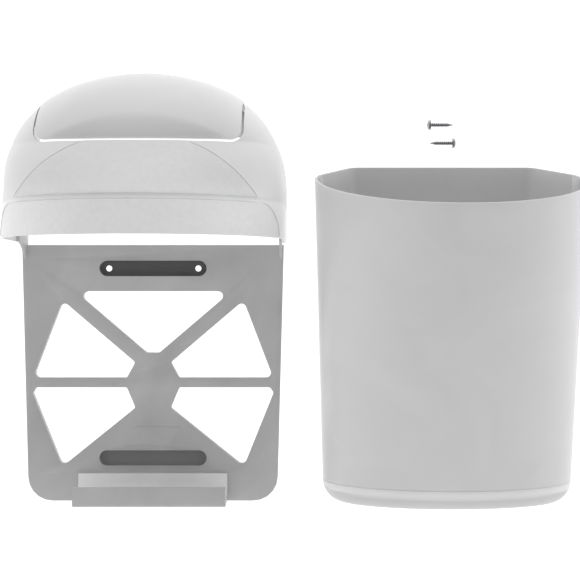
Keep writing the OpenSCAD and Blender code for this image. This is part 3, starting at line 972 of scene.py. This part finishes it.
@dataclass
class BackPlate:
    """The windowed plate with its ledge: the CAD shape with every edge softly rounded."""

    rounding: float = 0.45 * MM
    face_depth: float = 7 * MM
    pocket_half: float = 44 * MM
    pocket_reach: float = 6.5 * MM
    lower_pocket: float = -155.8 * MM
    ledge_half: float = 61 * MM
    turn_front: float = 24 * MM
    turn_low: float = 3 * MM
    turn_high: float = 23 * MM
    upper_pocket_painted_shade: float = 0.22
    lower_pocket_painted_shade: float = 0.5
    turn_painted_light: float = 1.7

    def shade_at(self, points: np.ndarray) -> np.ndarray:
        """Painted light and shade: painted shade in the two pockets, painted light on the ledge's rounded
        turn.
        """
        x, y, z = points.T
        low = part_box("back_plate")[0][2]
        sunk = (y > -self.face_depth + 0.6 * MM) & (y < -1 * MM) & (np.abs(x) < self.pocket_half)
        shade = np.ones(len(points))
        shade[sunk & (np.abs(z) < self.pocket_reach)] = self.upper_pocket_painted_shade
        shade[sunk & (np.abs(z - self.lower_pocket) < self.pocket_reach)] = self.lower_pocket_painted_shade
        turn = (y < -self.face_depth - 2 * MM) & (y > -self.turn_front) & (np.abs(x) < self.ledge_half)
        shade[turn & (z > low + self.turn_low) & (z < low + self.turn_high)] = self.turn_painted_light
        return shade

    def build(self) -> None:
        """Makes and dresses the plate."""
        piece = merged_copy("plate_moulding", "back_plate")
        bevel(piece, self.rounding, 2, 35)
        # Painted shade in the two pockets and painted light on the ledge's turn.
        write_values(piece, "shade", self.shade_at(points_of(piece)))
        dress(piece, PLATE_FINISH, "bracket")
        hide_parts("back_plate")


def arc_corner(before: np.ndarray, corner: np.ndarray, after: np.ndarray, r: float,
               steps: int) -> np.ndarray:
    """A corner rounded by an arc that touches both of its sides.

    Args:
        before: The point before the corner.
        corner: The corner.
        after: The point after it.
        r: The arc's radius.
        steps: Number of steps along the arc.

    Returns:
        The arc's points, from the first side to the second.
    """
    a = (before - corner) / np.linalg.norm(before - corner)
    b = (after - corner) / np.linalg.norm(after - corner)
    half = np.arccos(a @ b) / 2
    centre = corner + (a + b) / np.linalg.norm(a + b) * r / math.sin(half)
    first = corner + a * r / math.tan(half) - centre
    last = corner + b * r / math.tan(half) - centre
    start = math.atan2(first[1], first[0])
    turn = (math.atan2(last[1], last[0]) - start + math.pi) % (2 * math.pi) - math.pi
    angle = start + turn * np.linspace(0, 1, steps + 1)
    return centre + r * np.stack([np.cos(angle), np.sin(angle)], axis=-1)


@dataclass
class Bin:
    """The tapered D-shaped bin: a stack of rings from a rounded base to a sloping, rounded rim.

    In plan it is flat at the back, cut across the back corners, and an ellipse in front of the middle.
    """

    low: np.ndarray = field(default_factory=lambda: np.array(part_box("bin")[0]))
    high: np.ndarray = field(default_factory=lambda: np.array(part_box("bin")[1]))
    wall: float = 2 * MM
    seam_width: float = 196 * MM
    seam_depth: float = 95 * MM
    seam_height: float = 16 * MM
    rim_half: float = 104 * MM
    rim_slope: float = math.radians(14.4)
    front_turn: float = 0.32
    back_flat: float = 0.71
    corner_run: float = 0.25
    bend: float = 0.14
    back_gap: float = 10.4 * MM
    groove_half: float = 62.2 * MM
    groove_back: float = 36.4 * MM
    groove_front: float = 41.2 * MM
    groove_top: float = 10.7 * MM
    seam_cut: float = 0.45 * MM
    rib_places: tuple[float, float] = (40 * MM, 46 * MM)
    rib_height: float = 20 * MM
    rib_thick: float = 1.6 * MM
    rib_out: float = 5 * MM
    rib_below_rim: float = 1 * MM
    rib_painted_highlight: float = 1.15
    base_painted_light: float = 0.16
    inside_painted_shade: float = 0.12

    @property
    def middle(self) -> float:
        """X of the bin's middle."""
        return (self.low[0] + self.high[0]) / 2

    @property
    def rim_depth(self) -> float:
        """Depth of the rim from its back to its front."""
        return -self.low[1] - self.back_gap

    @property
    def front_rim(self) -> float:
        """Height of the rim's front, from the slope and the rim's back."""
        return self.high[2] - self.rim_depth * math.tan(self.rim_slope)

    @property
    def seam(self) -> float:
        """Height of the seam round the base."""
        return self.low[2] + self.seam_height

    def plan(self, arc_steps: int, front_steps: int) -> np.ndarray:
        """The plan as parts of the half width and the depth, from the middle of the back round the front."""
        corner = np.array([-self.back_flat, 0.0])
        side, front = np.array([-1.0, self.corner_run]), np.array([-1.0, 1.0])
        turn = np.linspace(0, np.pi / 2, front_steps + 1)
        curve = np.stack([-np.cos(turn), self.front_turn + (1 - self.front_turn) * np.sin(turn)], axis=-1)
        back = np.stack([np.linspace(0, -0.6, 8), np.zeros(8)], axis=-1)
        cut_a = arc_corner(np.zeros(2), corner, side, self.bend, arc_steps)
        cut_b = arc_corner(corner, side, front, self.bend, arc_steps)
        left = np.vstack([back, cut_a, cut_b, curve])
        return np.vstack([left, left[-2:0:-1] * [-1, 1]])

    def part_up(self, z: np.ndarray) -> np.ndarray:
        """How far up from the seam to the front of the rim the height z is."""
        return (z - self.seam) / (self.front_rim - self.seam)

    def size_at(self, z: np.ndarray) -> tuple[np.ndarray, np.ndarray]:
        """Half the width and the depth at height z: both grow evenly from the seam to the rim."""
        t = self.part_up(z)
        half = self.seam_width / 2 + (self.rim_half - self.seam_width / 2) * t
        return half, self.seam_depth + (self.rim_depth - self.seam_depth) * t

    def points(self, plan: np.ndarray, z: np.ndarray, inset: float, pulled: float) -> np.ndarray:
        """Points at plan places and heights, inside the outer surface by inset and pulled in further."""
        half, depth = self.size_at(z)
        x = self.middle + plan[:, 0] * (half - inset - pulled)
        y = -(self.back_gap + inset + pulled + plan[:, 1] * (depth - 2 * (inset + pulled)))
        return np.stack([x, y, np.broadcast_to(z, x.shape)], axis=-1)

    def rim_at(self, plan: np.ndarray) -> np.ndarray:
        """Height of the sloping rim above each plan place: where the leaning wall meets the rim's plane."""
        lean = (self.rim_depth - self.seam_depth) / (self.front_rim - self.seam)
        fall = math.tan(self.rim_slope)
        level = plan[:, 1] * (self.seam_depth + lean * (self.low[2] - self.seam))
        rise = (self.high[2] - self.low[2] - fall * level) / (1 + fall * plan[:, 1] * lean)
        return self.low[2] + rise

    def wall_rings(self, plan: np.ndarray, inset: float, base_steps: int, wall_steps: int) -> np.ndarray:
        """Rings from the base's flat edge up to just under the rim.

        Args:
            plan: Plan places.
            inset: 0 for the outer face, or the wall's thickness for the inner one.
            base_steps: Number of steps in the rounded base.
            wall_steps: Number of steps up the wall.

        Returns:
            Points of shape (rings, places, 3).
        """
        r, count = self.seam_height - inset, len(plan)
        rings = []
        for turn in np.linspace(0, np.pi / 2, base_steps + 1):
            z = self.low[2] + inset + r * (1 - math.cos(turn))
            rings.append(self.points(plan, np.full(count, z), inset, r * (1 - math.sin(turn))))
        if inset == 0:
            deep = self.seam_cut
            for rise, cut_in in ((0.3 * MM, 0.0), (0.6 * MM, deep), (1.2 * MM, deep), (1.6 * MM, 0.0)):
                rings.append(self.points(plan, np.full(count, self.seam + rise), 0.0, cut_in))
        top = self.rim_at(plan) - self.wall / 2
        start = self.seam + 2 * MM
        for t in np.linspace(0, 1, wall_steps + 1):
            rings.append(self.points(plan, start + (top - start) * t, inset, 0.0))
        return np.array(rings)

    def build(self, quick: bool) -> None:
        """Makes and dresses the bin."""
        plan = self.plan(6, 28) if quick else self.plan(10, 48)
        outer = self.wall_rings(plan, 0.0, 12, 24)
        inner = self.wall_rings(plan, self.wall, 12, 24)
        r, top = self.wall / 2, self.rim_at(plan)
        rim = [self.points(plan, top - r + r * math.sin(turn), r * (1 - math.cos(turn)), 0.0)
               for turn in np.linspace(0, np.pi, 9)[1:-1]]
        piece = ring_stack("bin_moulding", np.concatenate([outer, np.array(rim), inner[::-1]]))
        combine(piece, self.bar("ridge", self.wall), "UNION")
        combine(piece, self.bar("groove", 0.0), "DIFFERENCE")
        shade_by_angle(piece, 40)
        self.shade(piece)
        dress(piece, BIN_FINISH, "bin")
        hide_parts("bin")
        for side in Side:
            for depth in self.rib_places:
                self.rib(side, depth)

    def shade(self, piece: bpy.types.Object) -> None:
        """Writes painted light and shade: painted light below the seam, painted shade inside."""
        x, y, z = points_of(piece).T
        half, depth = self.size_at(z)
        across = np.clip(np.abs(x - self.middle) / half, 0, 1)
        front = self.back_gap + depth * (self.front_turn + (1 - self.front_turn) * np.sqrt(1 - across**2))
        inside = smooth_step(front + y, 0.9 * MM, 1.6 * MM)
        base = 1 - smooth_step(z, self.seam - 1 * MM, self.seam + 1 * MM)
        lighter = self.base_painted_light * base * (1 - inside)
        # Painted light on the base below the seam, painted shade on the inside.
        write_values(piece, "shade", 1 - self.inside_painted_shade * inside + lighter)

    def bar(self, name: str, grow: float) -> bpy.types.Object:
        """A straight bar under the bin along X: the groove for the ledge's lip, or the ridge over it."""
        below = 0.0 if grow else 1 * MM
        back, front = -(self.groove_back - grow), -(self.groove_front + grow)
        low, high = self.low[2] - below, self.low[2] + self.groove_top + grow
        outline = np.array([[back, low], [back, high], [front, high], [front, low]])
        half = self.groove_half + grow
        return prism(name, outline, self.middle - half, self.middle + half, 0)

    def rib(self, side: Side, depth: float) -> None:
        """One upright rib inside a back corner of the rim."""
        high = self.high[2] - math.tan(self.rim_slope) * depth - self.rib_below_rim
        low = high - self.rib_height
        x = self.size_at(low)[0] - self.wall / 2 - self.rib_out
        back, front = -(self.back_gap + depth), -(self.back_gap + depth + self.rib_thick)
        outline = np.array([[back, low], [front, low], [front, high], [back, high]])
        ends = sorted((self.middle + side.value * x, self.middle + side.value * (x + self.rib_out)))
        piece = prism(f"bag_rib_{side.name.lower()}_{round(depth / MM)}", outline, *ends, 0)
        bevel(piece, SMALL_ROUND, 2, 50)
        # Painted highlight: the ribs' colour is made lighter.
        write_values(piece, "shade", np.full(len(piece.data.vertices), self.rib_painted_highlight))
        dress(piece, BIN_FINISH, "bin")


@dataclass
class Screws:
    """The two loose pan-head screws, lying along X with their points opposite ways."""

    low: np.ndarray = field(default_factory=lambda: np.array(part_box("wall_screws")[0]))
    high: np.ndarray = field(default_factory=lambda: np.array(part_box("wall_screws")[1]))
    length: float = 19 * MM
    radius: float = 2 * MM
    core: float = 1.35 * MM
    pitch: float = 1.6 * MM
    tip: float = 5 * MM
    tip_end: float = 0.06
    ridge_slope: float = 4.2
    thread_start: float = 0.6 * MM
    thread_full: float = 1.6 * MM
    neck: float = 0.4 * MM
    head_height: float = 2.9 * MM
    head_edge: float = 0.9 * MM
    dome_power: float = 0.62
    recess_long: float = 4.6 * MM
    recess_wide: float = 1 * MM
    recess_deep: float = 1.3 * MM

    @property
    def head_radius(self) -> float:
        """Radius of the head."""
        return (self.high[1] - self.low[1]) / 2

    def build(self, quick: bool) -> None:
        """Makes and dresses both screws."""
        y = (self.low[1] + self.high[1]) / 2
        upper_place = (self.low[0] + self.head_height, y, self.high[2] - self.head_radius)
        lower_place = (self.high[0] - self.head_height, y, self.low[2] + self.head_radius)
        upper = self.screw("upper", upper_place, 1, quick)
        self.screw("lower", lower_place, -1, quick)
        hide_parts("wall_screws")

    def screw(self, name: str, place: Place, way: int, quick: bool) -> bpy.types.Object:
        """Makes and dresses one screw: a threaded shank and a domed head.

        Args:
            name: Which screw it is.
            place: The middle of the head's underside.
            way: 1 if the point is towards +X, or -1.
            quick: Whether it is a coarse draft.

        Returns:
            The shank.
        """
        around, steps = (24, 120) if quick else (40, 320)
        turn = np.linspace(0, 2 * np.pi, around, endpoint=False)
        shank = self.turned(place, way, *self.thread(turn, steps), turn)
        piece = ring_stack(f"screw_{name}_shank", shank)
        dress(piece, SCREW_FINISH, "bracket")
        profile = self.head_profile()
        head = self.turned(place, way, profile[:, :1], profile[:, 1:], turn)
        cap = ring_stack(f"screw_{name}_head", head)
        long, wide = self.recess_long, self.recess_wide
        end = place[0] - way * self.head_height
        for tall, across in ((long, wide), (wide, long)):
            outline = np.array([[-across, -tall], [across, -tall], [across, tall], [-across, tall]]) / 2
            outline += [place[1], place[2]]
            tool = prism("recess", outline, end - self.recess_deep, end + self.recess_deep, 0)
            combine(cap, tool, "DIFFERENCE")
        shade_by_angle(cap, 35)
        dress(cap, SCREW_FINISH, "bracket")
        return piece

    def thread(self, turn: np.ndarray, steps: int) -> tuple[np.ndarray, np.ndarray]:
        """The threaded shank: its core plus the thread's height times a ridge of x / pitch - a / turn.

        Args:
            turn: Angles round the shank.
            steps: Number of rings along it.

        Returns:
            Places along the shank, one row each, and the radius at each place and angle.
        """
        along = np.linspace(-self.neck, self.length, steps)[:, None]
        taper = np.clip((self.length - along) / self.tip, self.tip_end, 1)
        phase = (along / self.pitch - turn[None, :] / (2 * np.pi)) % 1
        ridge = np.clip(1 - np.abs(phase - 0.5) * self.ridge_slope, 0, 1)
        height = (self.radius - self.core) * ridge * smooth_step(along, self.thread_start, self.thread_full)
        return along, (self.core + height) * taper

    def head_profile(self) -> np.ndarray:
        """The head's profile as [place along the screw, radius]: a flat underside, an edge and a dome."""
        turn = np.linspace(0, np.pi / 2, 12)[:-1]
        wide = self.head_radius
        underside = [[0, 0.3 * self.radius], [0, wide - 0.2 * MM], [-0.12 * MM, wide]]
        height = -self.head_edge - (self.head_height - self.head_edge) * np.sin(turn)
        dome = np.stack([height, wide * np.cos(turn) ** self.dome_power], axis=-1)
        return np.vstack([underside, dome])

    @staticmethod
    def turned(place: Place, way: int, along: np.ndarray, radius: np.ndarray, turn: np.ndarray) -> np.ndarray:
        """Rings of a surface turned about an axis along X.

        Args:
            place: Where the axis starts.
            way: 1 if the places along it run towards +X, or -1.
            along: Places along the axis, one row each.
            radius: The radius at each place, or at each place and angle.
            turn: The angles.

        Returns:
            Points of shape (places, angles, 3).
        """
        x = place[0] + way * along + 0 * turn
        y = place[1] + radius * np.cos(turn)
        z = place[2] + radius * np.sin(turn)
        return np.stack([x, y, z], axis=-1)


# Studio ---------------------------------------------------------------------------------------


@dataclass
class Studio:
    """A light tent with one soft lamp above: dimmer on the camera's side than all round."""

    scale: float = 0.827 * MM
    distance: float = 1.04
    frame_side: int = 580
    sensor: float = 36.0
    near_light: float = 0.30
    side_light: float = 1.28
    aim: tuple[float, float] = (0.1125, -0.0178)
    floor_half: float = 1.2
    floor_drop: float = 0.45

    def camera(self) -> None:
        """A level camera square to the wall, centred between the bracket and the bin."""
        data = bpy.data.cameras.new("camera")
        data.sensor_width = self.sensor
        data.lens = self.sensor * self.distance / (self.frame_side * self.scale)
        data.clip_start, data.clip_end = 0.05, 50
        camera = bpy.data.objects.new("camera", data)
        camera.location = (self.aim[0], -self.distance, self.aim[1])
        camera.rotation_euler = (math.pi / 2, 0, 0)
        bpy.context.scene.collection.objects.link(camera)
        bpy.context.scene.camera = camera

    def tent(self) -> None:
        """The surrounding white light, whose strength depends only on the direction in the room.

        It rises evenly from near_light, straight out from the wall, to side_light level with the wall, and
        stays there behind it.
        """
        world = bpy.data.worlds.new("tent")
        bpy.context.scene.world = world
        tree = NodeTree(world)
        way = tree.add("TexCoord", {}).outputs["Generated"]
        away = tree.add("SeparateXYZ", {"Vector": way}).outputs["Y"]
        ramp = {"From Min": -1.0, "From Max": 0.0, "To Min": self.near_light, "To Max": self.side_light}
        strength = tree.add("MapRange", {**ramp, "Value": away}).outputs["Result"]
        tree.feed(tree.nodes["Background"], {"Color": (1, 1, 1, 1), "Strength": strength})

    def lamp(self, name: str, place: Place, target: Place, size: float, power: float) -> None:
        """A soft square lamp.

        Args:
            name: The lamp's name.
            place: Where it stands.
            target: What it points at.
            size: Its side.
            power: Its strength in watts.
        """
        data = bpy.data.lights.new(name, "AREA")
        data.shape, data.size, data.energy = "SQUARE", size, power
        lamp = bpy.data.objects.new(name, data)
        lamp.location = place
        way = Vector(target) - Vector(place)
        lamp.rotation_euler = way.to_track_quat("-Z", "Y").to_euler()
        bpy.context.scene.collection.objects.link(lamp)

    def floor(self) -> None:
        """A plain pale floor below the bin."""
        half, low = self.floor_half, cad_box[0][2] - self.floor_drop
        corners = np.array([[-half, -half, low], [half, -half, low], [half, half, low], [-half, half, low]])
        floor = new_object("floor", corners, [[0, 1, 2, 3]], False)
        material = bpy.data.materials.new("pale_floor")
        tree = NodeTree(material)
        pale = {"Base Color": (0.9, 0.9, 0.9, 1), "Roughness": 0.9}
        tree.feed(tree.nodes["Principled BSDF"], pale)
        floor.data.materials.append(material)


def main() -> None:
    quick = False
    surface = HoodSurface()
    outline = FlapOutline(surface)
    BackPlate().build()
    Hood(surface, outline).build(quick)
    Flap(surface, outline).build(quick)
    Bin().build(quick)
    Screws().build(quick)
    studio = Studio()
    studio.camera()
    studio.tent()
    studio.floor()
    studio.lamp("top_light", (0.1, -0.35, 1.1), (0.1, -0.1, 0), 0.9, 0.8)
    bpy.context.scene.view_settings.view_transform = "Standard"


if __name__ == "__main__":
    main()
